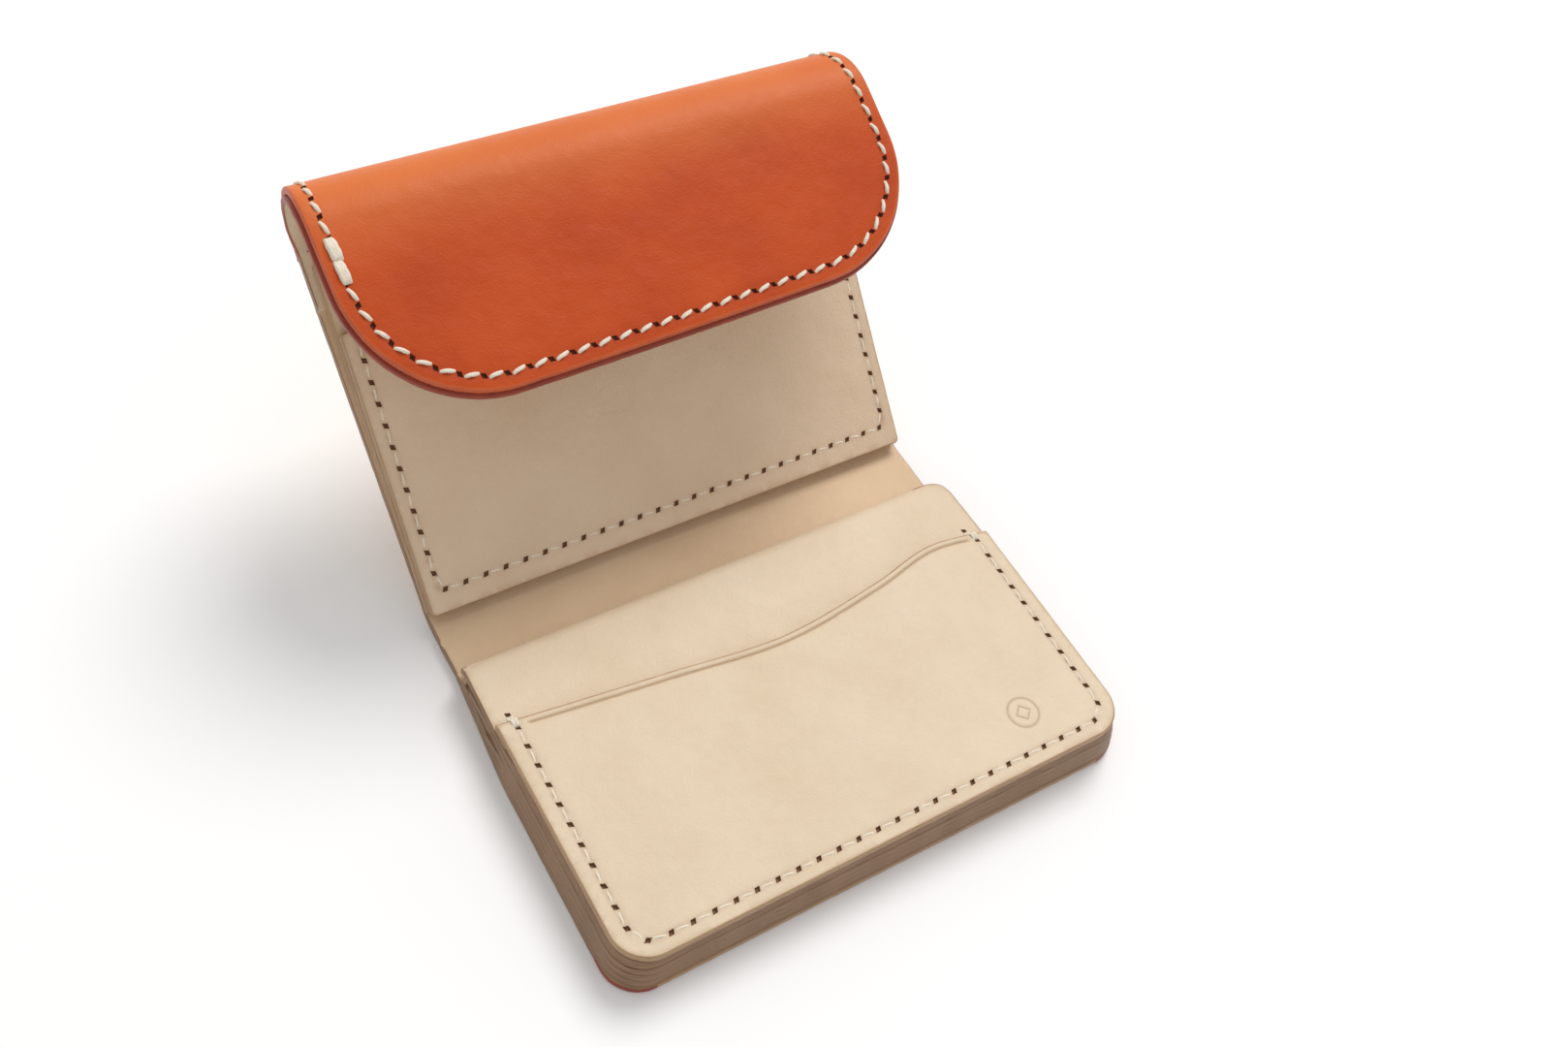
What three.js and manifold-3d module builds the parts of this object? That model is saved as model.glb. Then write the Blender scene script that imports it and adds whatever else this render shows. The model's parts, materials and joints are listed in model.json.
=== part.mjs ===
// A folding leather card holder, lying open on its back with its flap curled over the upper pocket.
// Two card pockets lie flat, a bare strip of the body makes the spine, and the upper half leans back
// from it. The four parts that move against each other are the lower half, the spine, the upper half
// and the flap. Millimetres, +Z up. X runs across the pockets, +Y from the front edge to the spine.
import * as THREE from "three";
import { mergeVertices } from "three/addons/utils/BufferGeometryUtils.js";
import Module from "manifold-3d";

const wasm = await Module();
wasm.setup();

// Driving sizes.
const GAP = 0.3; // between two layers that are glued or sewn together
const FOLD_GAP = 0.15; // half the clearance across a fold
const ORIGIN_Y = 67.55; // the front edge lies this far before the origin
const BODY_THICK = 2.2; // the body leather under the lower half and the spine
const UPPER_BODY_THICK = 2.0;
const ORANGE_THICK = 1.2;
const FLAP_LINING_THICK = 1.2;
const LEAN = THREE.MathUtils.degToRad(43.3); // the upper half above the table

// Lower half: each layer's underside, top, half width and front edge, from the table up.
const LAYERS = {
  body: { bottom: 0, top: BODY_THICK, half: 53.7, front: 0 },
  lining: { bottom: 2.5, top: 3.7, half: 53.5, front: 0.2 },
  welt: { bottom: 4.0, top: 5.2, half: 53.3, front: 0.4 },
  divider: { bottom: 5.5, top: 6.6, half: 53.0, front: 0.7 },
  second: { bottom: 6.9, top: 8.4, half: 52.7, front: 1.0 },
  pocket: { bottom: 8.7, top: 10.2, half: 52.2, front: 1.4 },
};
const FRONT_RADIUS = 7;
const WAIST_Y = 44; // behind this the lower half narrows to the spine
const SPINE_HALF = 52.0;
const LINING_BACK = 66.5;
const WELT_BACK = 52;
const WELT_WIDTH = 7;
const DIVIDER_BACK = 60;
const DIVIDER_BACK_HALF = 52.6;
const SECOND_BACK = 64.7;
const FRONT_FOLD_Y = 67.15;
const SPINE_WIDTH = 12.6;
const REAR_FOLD_Y = FRONT_FOLD_Y + SPINE_WIDTH;
const PATCH_DEPTH = 9;

// Upper half, measured up its own slope from the rear fold; height is from the body's inner face.
const STEPPED = { bottom: GAP, top: 1.7, half: 52.0, start: GAP, end: 66.1 };
const UPPER = { bottom: 2.0, top: 3.5, half: 51.7, start: GAP, end: 53.5 };
const UPPER_RADIUS = 2;
const UPPER_HALF = 51.9;
const OVERLAY_START = 67;
const OVERLAY_HALF = 53.4;

// Flap: straight up the back, round the bend, then a nearly flat tongue down the front.
const BACK_RISE = 0.65; // straight stretch before the bend
const BEND_RADIUS = 11.8;
const BEND_TURN = THREE.MathUtils.degToRad(161);
const TONGUE = 34.4; // straight, from the bend to the tip
const FLAP_HALF = 55;
const FLAP_RADIUS = 23.8;
const HINGE_TURN = THREE.MathUtils.degToRad(90); // the flap bends about the top of the bend

// Seams.
const SEAM_HALF = 49.0;
const SEAM_INSET = 2.8;
const GROOVE = { half: 0.7, depth: 0.7 };
const THREAD = { half: 0.4, low: -0.4, high: -0.05 };
const TACK_THREAD = 0.5; // half the width of the doubled thread in a tack

const LEATHER = new THREE.MeshStandardMaterial({ color: 0xe0cba6, roughness: 0.6, metalness: 0 });
const ORANGE = new THREE.MeshStandardMaterial({ color: 0xc65c30, roughness: 0.5, metalness: 0 });
const LINEN = new THREE.MeshStandardMaterial({ color: 0xe4dac6, roughness: 0.8, metalness: 0 });

// ---- shared helpers -------------------------------------------------------------------------

function solidOf(geometry) {
  const bare = geometry.clone();
  bare.deleteAttribute("normal");
  bare.deleteAttribute("uv");
  const merged = mergeVertices(bare, 1e-4);
  return new wasm.Manifold(
    new wasm.Mesh({
      numProp: 3,
      vertProperties: merged.attributes.position.array,
      triVerts: new Uint32Array(merged.index.array),
    }),
  );
}

function cut(geometry, tool) {
  const mesh = solidOf(geometry).subtract(solidOf(tool)).getMesh();
  return new THREE.BufferGeometry()
    .setAttribute("position", new THREE.BufferAttribute(mesh.vertProperties, 3))
    .setIndex(new THREE.BufferAttribute(mesh.triVerts, 1));
}

function addPart(group, name, geometry, material) {
  const flat = geometry.index ? geometry.toNonIndexed() : geometry;
  flat.computeVertexNormals();
  const mesh = new THREE.Mesh(flat, material);
  mesh.name = name;
  group.add(mesh);
}

// A ring of four corners at every station, joined into one closed bar with two end caps.
function barThrough(rings) {
  const positions = [];
  rings.forEach((ring) => ring.forEach((p) => positions.push(p.x, p.y, p.z)));
  const index = [];
  const quad = (a, b, c, d) => index.push(a, b, c, a, c, d);
  for (let i = 0; i + 1 < rings.length; i++) {
    for (let k = 0; k < 4; k++) {
      const next = (k + 1) % 4;
      quad(4 * i + k, 4 * i + next, 4 * i + 4 + next, 4 * i + 4 + k);
    }
  }
  const last = 4 * (rings.length - 1);
  quad(3, 2, 1, 0);
  quad(last, last + 1, last + 2, last + 3);
  return new THREE.BufferGeometry()
    .setAttribute("position", new THREE.Float32BufferAttribute(positions, 3))
    .setIndex(index);
}

// A thin strip that follows a path drawn on a surface; place(x, t, height) puts a point there.
function stripAlong(path, half, low, high, place) {
  const rings = path.map((point, i) => {
    const before = path[Math.max(i - 1, 0)];
    const after = path[Math.min(i + 1, path.length - 1)];
    const side = new THREE.Vector2(after.y - before.y, before.x - after.x).normalize().multiplyScalar(half);
    return [
      place(point.x - side.x, point.y - side.y, high),
      place(point.x + side.x, point.y + side.y, high),
      place(point.x + side.x, point.y + side.y, low),
      place(point.x - side.x, point.y - side.y, low),
    ];
  });
  return barThrough(rings);
}

const flat = (level) => (x, y, height) => new THREE.Vector3(x, y, level + height);
// Seen from below the surface: heights grow downwards, and x is mirrored so that faces stay outward.
const under = (level) => (x, y, height) => new THREE.Vector3(-x, y, level - height);

// Points of a U: down one side, across the front and up the other, with rounded corners.
function seamPath(half, front, back, radius, rowsPerSide = 2) {
  const points = [];
  const cornerSteps = 6;
  for (let i = 0; i < rowsPerSide; i++) {
    points.push(new THREE.Vector2(-half, back + (front + radius - back) * (i / rowsPerSide)));
  }
  for (const side of [-1, 1]) {
    for (let i = 0; i <= cornerSteps; i++) {
      const turn = ((side < 0 ? i : cornerSteps - i) / cornerSteps) * (Math.PI / 2);
      const x = side * (half - radius + radius * Math.cos(turn));
      points.push(new THREE.Vector2(x, front + radius - radius * Math.sin(turn)));
    }
  }
  for (let i = rowsPerSide - 1; i >= 0; i--) {
    points.push(new THREE.Vector2(half, back + (front + radius - back) * (i / rowsPerSide)));
  }
  return points;
}

const thread = (path, place) => stripAlong(path, THREAD.half, THREAD.low, THREAD.high, place);
const groove = (path, place) => stripAlong(path, GROOVE.half, -GROOVE.depth, 1, place);

// Outline with round front corners; it narrows behind the waist, and its back edge is given as points.
function outline(half, front, radius, backEdge, waist = WAIST_Y) {
  const shape = new THREE.Shape();
  shape.moveTo(-half, waist);
  shape.lineTo(-half, front + radius);
  shape.absarc(-half + radius, front + radius, radius, Math.PI, 1.5 * Math.PI);
  shape.lineTo(half - radius, front);
  shape.absarc(half - radius, front + radius, radius, 1.5 * Math.PI, 2 * Math.PI);
  shape.lineTo(half, waist);
  backEdge(shape);
  return shape;
}

function slab(shape, bottom, top) {
  const geometry = new THREE.ExtrudeGeometry(shape, {
    depth: top - bottom,
    bevelEnabled: false,
    curveSegments: 8,
  });
  return geometry.translate(0, 0, bottom);
}

const straightBack = (half, back) => (shape) => shape.lineTo(half, back).lineTo(-half, back);

// ---- lower half -----------------------------------------------------------------------------

const holder = new THREE.Group();
holder.position.y = -ORIGIN_Y;
const lower = new THREE.Group();
const spine = new THREE.Group();
const upper = new THREE.Group();
upper.position.set(0, REAR_FOLD_Y, BODY_THICK);
upper.rotation.x = LEAN;
holder.add(lower, spine, upper);

const SEAM_FRONT = LAYERS.pocket.front + SEAM_INSET;
const SEAM_RADIUS = FRONT_RADIUS - SEAM_INSET;
const LOWER_SEAM_BACK = 45;

function lowerSlab(layer, backEdge) {
  return slab(outline(layer.half, layer.front, FRONT_RADIUS, backEdge), layer.bottom, layer.top);
}

function bodyLower() {
  const body = lowerSlab(LAYERS.body, straightBack(SPINE_HALF, FRONT_FOLD_Y - FOLD_GAP));
  const recessDepth = PATCH_DEPTH + GAP;
  const recess = new THREE.BoxGeometry(2 * LAYERS.body.half + 2, 2 * recessDepth, 2 * (ORANGE_THICK + GAP));
  return cut(cut(body, recess), groove(UNDERSIDE_SEAM, under(0)));
}

// The skived orange strip let into the underside along the front edge.
function frontPatch() {
  const half = LAYERS.body.half;
  const strip = slab(
    outline(half, LAYERS.body.front, FRONT_RADIUS, straightBack(half, PATCH_DEPTH), PATCH_DEPTH - 1),
    0,
    ORANGE_THICK,
  );
  return cut(strip, groove(UNDERSIDE_SEAM, under(0)));
}

// A U of leather between lining and divider: it makes the room for the cards.
function welt() {
  const { half, front, bottom, top } = LAYERS.welt;
  const inside = half - WELT_WIDTH;
  const shape = outline(half, front, FRONT_RADIUS, (s) => {
    s.lineTo(half, WELT_BACK);
    s.lineTo(inside, WELT_BACK);
    s.lineTo(inside, front + WELT_WIDTH);
    s.lineTo(-inside, front + WELT_WIDTH);
    s.lineTo(-inside, WELT_BACK);
    s.lineTo(-half, WELT_BACK);
  });
  return slab(shape, bottom, top);
}

// The second pocket's free back edge has a round right corner and a nearly square left one.
function secondPocket() {
  const { half } = LAYERS.second;
  const backHalf = half - 0.5;
  const leftRadius = 1.5;
  const rightRadius = 6;
  return lowerSlab(LAYERS.second, (shape) => {
    shape.lineTo(backHalf, SECOND_BACK - rightRadius);
    shape.absarc(backHalf - rightRadius, SECOND_BACK - rightRadius, rightRadius, 0, Math.PI / 2);
    shape.lineTo(-backHalf + leftRadius, SECOND_BACK);
    shape.absarc(-backHalf + leftRadius, SECOND_BACK - leftRadius, leftRadius, Math.PI / 2, Math.PI);
  });
}

// Height of the wavy mouth of the front pocket: ends high, dips right of the middle.
const MOUTH = [
  [52.2, 48.6],
  [39, 50.3],
  [24, 47.3],
  [2.5, 44.8],
  [-20, 47.0],
  [-38, 48.9],
  [-52.2, 50.5],
].map(([x, y]) => new THREE.Vector2(x, y));

function frontPocket() {
  const panel = lowerSlab(LAYERS.pocket, (shape) => {
    shape.lineTo(MOUTH[0].x, MOUTH[0].y);
    shape.splineThru(MOUTH.slice(1));
  });
  return cut(panel, groove(FRONT_SEAM, flat(LAYERS.pocket.top)));
}

const FRONT_SEAM = seamPath(SEAM_HALF, SEAM_FRONT, LOWER_SEAM_BACK, SEAM_RADIUS);
const UNDERSIDE_SEAM = seamPath(SEAM_HALF, SEAM_FRONT, 62, SEAM_RADIUS);

// The doubled end stitch that goes over the pocket mouth and down to the second pocket.
function mouthTack(x, mouthY) {
  const top = LAYERS.pocket.top + GAP;
  const foot = LAYERS.second.top + GAP;
  const thick = 0.5;
  const beyond = mouthY + GAP;
  const shape = new THREE.Shape();
  shape.moveTo(mouthY - 3.6, top);
  shape.lineTo(beyond, top);
  shape.lineTo(beyond, foot);
  shape.lineTo(beyond + thick, foot);
  shape.lineTo(beyond + thick, top + thick);
  shape.lineTo(mouthY - 3.6, top + thick);
  const geometry = new THREE.ExtrudeGeometry(shape, { depth: 2 * TACK_THREAD, bevelEnabled: false });
  // The shape is drawn in Y and Z and grows along X.
  const axes = new THREE.Matrix4().makeBasis(
    new THREE.Vector3(0, 1, 0),
    new THREE.Vector3(0, 0, 1),
    new THREE.Vector3(1, 0, 0),
  );
  return geometry.applyMatrix4(axes).translate(x - TACK_THREAD, 0, 0);
}

addPart(lower, "body_lower", bodyLower(), LEATHER);
addPart(lower, "front_patch", frontPatch(), ORANGE);
addPart(lower, "lower_lining", lowerSlab(LAYERS.lining, straightBack(SPINE_HALF, LINING_BACK)), LEATHER);
addPart(lower, "lower_welt", welt(), LEATHER);
const dividerBack = straightBack(DIVIDER_BACK_HALF, DIVIDER_BACK);
addPart(lower, "card_divider", lowerSlab(LAYERS.divider, dividerBack), LEATHER);
addPart(lower, "second_pocket", secondPocket(), LEATHER);
addPart(lower, "front_pocket", frontPocket(), LEATHER);
addPart(lower, "front_seam_thread", thread(FRONT_SEAM, flat(LAYERS.pocket.top)), LINEN);
addPart(lower, "underside_seam_thread", thread(UNDERSIDE_SEAM, under(0)), LINEN);
addPart(lower, "mouth_tack_left", mouthTack(-SEAM_HALF, 50.2), LINEN);
addPart(lower, "mouth_tack_right", mouthTack(SEAM_HALF, 49.6), LINEN);

// ---- spine ----------------------------------------------------------------------------------

const spineSheet = new THREE.BoxGeometry(2 * SPINE_HALF, SPINE_WIDTH - 2 * FOLD_GAP, BODY_THICK);
spineSheet.translate(0, FRONT_FOLD_Y + SPINE_WIDTH / 2, BODY_THICK / 2);
addPart(spine, "body_spine", spineSheet, LEATHER);

// ---- upper half and flap --------------------------------------------------------------------

const BEND_START = BACK_RISE;
const BEND_END = BEND_START + BEND_RADIUS * BEND_TURN;
const FLAP_TIP = BEND_END + TONGUE;
const HINGE_AT = BEND_START + BEND_RADIUS * HINGE_TURN;
const OVERLAY_OUT = -(UPPER_BODY_THICK + GAP + ORANGE_THICK); // the orange leather's outer face

// Where the orange outer face is, t millimetres past the overlay's lower edge, and where it heads.
function flapCurve(t) {
  const start = new THREE.Vector2(OVERLAY_START, OVERLAY_OUT);
  if (t <= BEND_START) return { at: start.add(new THREE.Vector2(t, 0)), heading: 0 };
  const centre = start.add(new THREE.Vector2(BEND_START, BEND_RADIUS));
  const turned = Math.min(t, BEND_END) - BEND_START;
  const angle = turned / BEND_RADIUS;
  const at = new THREE.Vector2(Math.sin(angle), -Math.cos(angle)).multiplyScalar(BEND_RADIUS).add(centre);
  if (t <= BEND_END) return { at, heading: angle };
  // The tongue goes straight on.
  const heading = BEND_TURN;
  const past = t - BEND_END;
  at.x += past * Math.cos(heading);
  at.y += past * Math.sin(heading);
  return { at, heading };
}

// A point on the flap: x across, t along, height above the orange outer face.
function onFlap(x, t, height) {
  const { at, heading } = flapCurve(t);
  return new THREE.Vector3(x, at.x + height * Math.sin(heading), at.y - height * Math.cos(heading));
}

// Half width of the leather at t: it widens into the flap, and the tip has round corners.
function flapHalf(t) {
  const widen = THREE.MathUtils.smoothstep(t, 0, BEND_END);
  const half = OVERLAY_HALF + (FLAP_HALF - OVERLAY_HALF) * widen;
  const into = Math.max(t - (FLAP_TIP - FLAP_RADIUS), 0);
  return half - FLAP_RADIUS + Math.sqrt(Math.max(FLAP_RADIUS ** 2 - into ** 2, 0));
}

// Stations along the flap, closer together round the bend and at the tip's corners.
function stations(from, to) {
  const list = [from];
  for (let t = BEND_START; t < BEND_END; t += 1.6) list.push(t);
  for (let t = BEND_END; t < FLAP_TIP - FLAP_RADIUS; t += 6) list.push(t);
  for (let i = 0; i <= 10; i++) {
    list.push(FLAP_TIP - FLAP_RADIUS + FLAP_RADIUS * Math.sin((i / 10) * (Math.PI / 2)));
  }
  list.push(to);
  const inside = list.filter((t) => t >= from && t <= to).sort((a, b) => a - b);
  const closest = 0.05;
  return inside.filter((t, i) => i === 0 || t - inside[i - 1] > closest);
}

// Leather that follows the flap's curve between two depths below its outer face.
function flapSheet(from, to, depthIn, depthOut, halfAt = flapHalf) {
  const rings = stations(from, to).map((t) => {
    const half = halfAt(t);
    return [
      onFlap(-half, t, -depthIn(t)),
      onFlap(half, t, -depthIn(t)),
      onFlap(half, t, -depthOut),
      onFlap(-half, t, -depthOut),
    ];
  });
  return barThrough(rings);
}

// On both faces of the flap x is turned where needed, so that a strip's faces point outward.
const outer = (x, t, height) => onFlap(-x, t, height);
const LINING_TOP = ORANGE_THICK + GAP;
const LINING_IN = LINING_TOP + FLAP_LINING_THICK;
const inner = (x, t, height) => onFlap(x, t, -LINING_IN - height);
const OVERLAY_SEAM_T = 2.5;

// The body leather: full thickness behind the pockets, skived where it goes round the bend.
function bodyUpper() {
  const full = LINING_TOP + UPPER_BODY_THICK;
  const skived = (t) => full + (LINING_IN - full) * THREE.MathUtils.smoothstep(t, 2, BEND_START + 6);
  const half = (t) => (t < 0 ? UPPER_HALF : flapHalf(t));
  const sheet = flapSheet(FOLD_GAP - OVERLAY_START, HINGE_AT - FOLD_GAP, skived, LINING_TOP, half);
  return cut(sheet, groove(UPPER_SEAM_BACK, under(-UPPER_BODY_THICK)));
}

function upperSlab(layer) {
  const shape = outline(layer.half, layer.start, UPPER_RADIUS, straightBack(layer.half, layer.end));
  return slab(shape, layer.bottom, layer.top);
}

const UPPER_SEAM = seamPath(SEAM_HALF, UPPER.start + 4.3, UPPER.end - 0.6, 1.5);
const UPPER_SEAM_BACK = seamPath(SEAM_HALF, UPPER.start + 4.3, STEPPED.end - 1, 1.5);

function steppedSeam(side) {
  const from = UPPER.end + GAP;
  return [new THREE.Vector2(side * SEAM_HALF, from), new THREE.Vector2(side * SEAM_HALF, STEPPED.end - 0.6)];
}

function steppedPocket() {
  let panel = upperSlab(STEPPED);
  for (const side of [-1, 1]) panel = cut(panel, groove(steppedSeam(side), flat(STEPPED.top)));
  return panel;
}

// Both seams on the bend stop short of the flap's hinge line.
const HINGE_MARGIN = 1.2;
const OVERLAY_SEAM = seamPath(50, OVERLAY_SEAM_T, HINGE_AT - HINGE_MARGIN, 1.5, 12);
// Drawn from the tip, then turned round to run from the hinge line to the tip and back.
const FLAP_INSET = 3;
const FLAP_SEAM_HALF = FLAP_HALF - FLAP_INSET;
const FLAP_SEAM_LENGTH = FLAP_TIP - HINGE_AT - HINGE_MARGIN;
const FLAP_SEAM = seamPath(FLAP_SEAM_HALF, FLAP_INSET, FLAP_SEAM_LENGTH, FLAP_RADIUS - FLAP_INSET, 24).map(
  (p) => new THREE.Vector2(-p.x, FLAP_TIP - p.y),
);

function flapTack(t) {
  const length = 3.2;
  const path = [new THREE.Vector2(FLAP_SEAM_HALF, t), new THREE.Vector2(FLAP_SEAM_HALF, t + length)];
  return stripAlong(path, TACK_THREAD, THREAD.high + GAP, THREAD.high + GAP + 0.6, outer);
}

addPart(upper, "body_upper", bodyUpper(), LEATHER);
addPart(upper, "stepped_pocket", steppedPocket(), LEATHER);
addPart(upper, "upper_pocket", cut(upperSlab(UPPER), groove(UPPER_SEAM, flat(UPPER.top))), LEATHER);
addPart(upper, "upper_seam_thread", thread(UPPER_SEAM, flat(UPPER.top)), LINEN);
addPart(upper, "stepped_seam_left", thread(steppedSeam(-1), flat(STEPPED.top)), LINEN);
addPart(upper, "stepped_seam_right", thread(steppedSeam(1), flat(STEPPED.top)), LINEN);
addPart(upper, "upper_back_seam_thread", thread(UPPER_SEAM_BACK, under(-UPPER_BODY_THICK)), LINEN);
const overlay = flapSheet(0, HINGE_AT - FOLD_GAP, () => ORANGE_THICK, 0);
addPart(upper, "back_overlay", cut(overlay, groove(OVERLAY_SEAM, outer)), ORANGE);
addPart(upper, "overlay_seam_thread", thread(OVERLAY_SEAM, outer), LINEN);

const flap = new THREE.Group();
upper.add(flap);
// The lining starts a little later, so that the flap can close past its resting shape.
const CLOSING_ROOM = 1.0;
const flapOuter = flapSheet(HINGE_AT + FOLD_GAP, FLAP_TIP, () => ORANGE_THICK, 0);
const flapLining = flapSheet(HINGE_AT + CLOSING_ROOM, FLAP_TIP, () => LINING_IN, LINING_TOP);
addPart(flap, "flap_outer", cut(flapOuter, groove(FLAP_SEAM, outer)), ORANGE);
addPart(flap, "flap_lining", cut(flapLining, groove(FLAP_SEAM, inner)), LEATHER);
addPart(flap, "flap_seam_thread", thread(FLAP_SEAM, outer), LINEN);
addPart(flap, "flap_lining_seam_thread", thread(FLAP_SEAM, inner), LINEN);
addPart(flap, "flap_tack_upper", flapTack(BEND_END + 2.4), LINEN);
addPart(flap, "flap_tack_lower", flapTack(BEND_END + 7), LINEN);

export default holder;
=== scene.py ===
"""A folding leather card holder, lying open with its flap curled over the upper pocket.

Every leather panel is drawn flat, as (x, t) in millimetres with h above its outer face, and then put
in place by a function that bends it along the spine, up the back and round the flap. Awl holes and
creases are cut into the flat drawing, and each stitch is a twisted thread of its own.
"""

import json
import math

import bmesh
import bpy
import numpy as np
from mathutils import Matrix, Vector, noise
from mathutils.geometry import delaunay_2d_cdt


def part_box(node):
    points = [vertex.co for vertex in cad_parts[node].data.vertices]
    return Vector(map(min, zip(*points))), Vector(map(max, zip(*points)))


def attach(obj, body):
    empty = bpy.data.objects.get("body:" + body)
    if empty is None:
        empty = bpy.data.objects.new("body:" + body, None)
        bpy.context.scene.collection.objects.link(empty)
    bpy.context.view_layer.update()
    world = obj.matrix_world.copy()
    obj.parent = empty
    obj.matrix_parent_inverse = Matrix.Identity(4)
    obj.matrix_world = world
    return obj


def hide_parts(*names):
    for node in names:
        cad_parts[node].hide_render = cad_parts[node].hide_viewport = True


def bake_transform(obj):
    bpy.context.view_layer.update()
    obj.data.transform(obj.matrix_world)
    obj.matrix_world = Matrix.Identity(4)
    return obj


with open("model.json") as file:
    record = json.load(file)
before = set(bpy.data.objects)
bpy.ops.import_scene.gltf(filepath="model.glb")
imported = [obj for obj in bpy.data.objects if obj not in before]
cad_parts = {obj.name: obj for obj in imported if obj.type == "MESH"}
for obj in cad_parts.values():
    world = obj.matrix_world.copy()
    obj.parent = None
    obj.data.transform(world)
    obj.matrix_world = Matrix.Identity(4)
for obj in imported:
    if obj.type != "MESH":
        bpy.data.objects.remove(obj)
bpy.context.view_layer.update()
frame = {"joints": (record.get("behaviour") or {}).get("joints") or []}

MM = 0.001
JOINT_AT = {j["name"]: np.array(j["pos_m"]) / MM for j in frame["joints"]}
FRONT_FOLD_Y = JOINT_AT["front_fold"][1]
REAR_FOLD_Y, FOLD_Z = JOINT_AT["rear_fold"][1:]

# ---- sizes that the frame's boxes don't give, the same as in the CAD model, in millimetres -------
LEAN = math.radians(43.3)
WAIST_AFTER = 44  # the lower half narrows this far behind its front edge
FRONT_RADIUS = 7
SPINE_HALF = 52.0
UPPER_BODY_THICK = 2.0
UPPER_BODY_HALF = 51.9
STEPPED_END = 66.1
STEPPED_TOP = 1.7
POCKET_END = 53.5
POCKET_TOP = 3.5
UPPER_POCKET_HALF = 51.7
OVERLAY_START = 67
OVERLAY_OUT = -3.5
OVERLAY_HALF = 53.4
BACK_RISE = 0.65
BEND_RADIUS = 11.8
BEND_TURN = math.radians(161)
TONGUE = 34.4
FLAP_HALF = 55
FLAP_RADIUS = 23.8
ORANGE_THICK = 1.45  # the CAD's 1.2 and most of the gap below it
LINING_THICK = 1.25

SEAM_HALF = 49.0
SEAM_INSET = 2.8
FLAP_SEAM_INSET = 2.7
PITCH = 4.0  # between two awl holes
SEAM_END = 1.6  # from a seam's last hole to the edge that it runs up to
TROUGH_WIDE = 0.55  # a seam pulls the leather down in a shallow trough
TROUGH_DEEP = 0.16
TROUGH_FAINT = 0.1
TROUGH_REACH = 0.9
LAYER_GAP = 0.02
ON_LINE = 0.05  # a point this near a line counts as on it

# The lower half's inner layers, pressed together: underside and top above the table.
LINING_LEVELS = (2.3, 3.85)
WELT_LEVELS = (3.88, 5.35)
DIVIDER_LEVELS = (5.38, 6.72)
SECOND_POCKET_BOTTOM = 6.75
DIVIDER_BACK_HALF = 52.6
WELT_WIDTH = 7

FOLD_ROUND = 5.0  # inner radius of the leather at the rear fold

# ---- putting flat drawings in place --------------------------------------------------------------


def on_table(level):
    """Flat on the table, with t as y."""
    return lambda x, t, h: np.stack([x, t, level + h], axis=-1)


def up_the_back(x, u, p):
    """u runs up the leaning half from the rear fold, p stands on the body's inner face."""
    y = REAR_FOLD_Y + u * math.cos(LEAN) - p * math.sin(LEAN)
    z = FOLD_Z + u * math.sin(LEAN) + p * math.cos(LEAN)
    return np.stack([x + 0 * y, y, z], axis=-1)


def on_upper(level):
    return lambda x, t, h: up_the_back(x, t, level + h)


FOLD_TANGENT = FOLD_ROUND * math.tan(LEAN / 2)
FOLD_FROM = REAR_FOLD_Y - FOLD_TANGENT
FOLD_TO = FOLD_FROM + FOLD_ROUND * LEAN


def on_body(x, t, h):
    """The body's inner face: flat along the table, round the rear fold and straight up the back."""
    flat = np.stack([x + 0 * t, t, FOLD_Z + h], axis=-1)
    angle = np.clip((t - FOLD_FROM) / FOLD_ROUND, 0, LEAN)
    y = FOLD_FROM + (FOLD_ROUND - h) * np.sin(angle)
    z = FOLD_Z + FOLD_ROUND - (FOLD_ROUND - h) * np.cos(angle)
    bent = np.stack([x + 0 * t, y, z], axis=-1)
    straight = up_the_back(x, t - FOLD_TO + FOLD_TANGENT, h)
    choice = np.where(t < FOLD_FROM, 0, np.where(t < FOLD_TO, 1, 2))[..., None]
    return np.where(choice == 0, flat, np.where(choice == 1, bent, straight))


BEND_END = BACK_RISE + BEND_RADIUS * BEND_TURN
FLAP_TIP = BEND_END + TONGUE


def flap_curve(t):
    """Where the orange leather's outer face is at t, as (u, p), and its heading."""
    turned = np.clip(t - BACK_RISE, 0, BEND_END - BACK_RISE) / BEND_RADIUS
    u = OVERLAY_START + np.minimum(t, BACK_RISE) + BEND_RADIUS * np.sin(turned)
    p = OVERLAY_OUT + BEND_RADIUS * (1 - np.cos(turned))
    past = np.clip(t - BEND_END, 0, None)
    return u + past * math.cos(BEND_TURN), p + past * math.sin(BEND_TURN), turned


def on_flap(depth):
    """Round the flap, with h above a face that lies this deep under the orange outer face."""

    def place(x, t, h):
        u, p, heading = flap_curve(t)
        return up_the_back(x, u + (h - depth) * np.sin(heading), p - (h - depth) * np.cos(heading))

    return place


def smoothstep(a, b, v):
    s = np.clip((v - a) / (b - a), 0, 1)
    return s * s * (3 - 2 * s)


def flap_half(t):
    """Half width of the leather at t, without the tip's round corners."""
    widened = OVERLAY_HALF + (FLAP_HALF - OVERLAY_HALF) * smoothstep(0, BEND_END, t)
    return widened + (UPPER_BODY_HALF - OVERLAY_HALF) * np.clip(-t / OVERLAY_START, 0, 1)


# ---- flat outlines -------------------------------------------------------------------------------


def dense(points, step, closed=True):
    """The same line with points about every step millimetres."""
    points = np.array(points, float)
    ends = np.vstack([points, points[:1]]) if closed else points
    out = []
    for a, b in zip(ends[:-1], ends[1:]):
        n = max(1, round(np.linalg.norm(b - a) / step))
        out += [a + (b - a) * i / n for i in range(n)]
    if not closed:
        out.append(ends[-1])
    return np.array(out)


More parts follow.
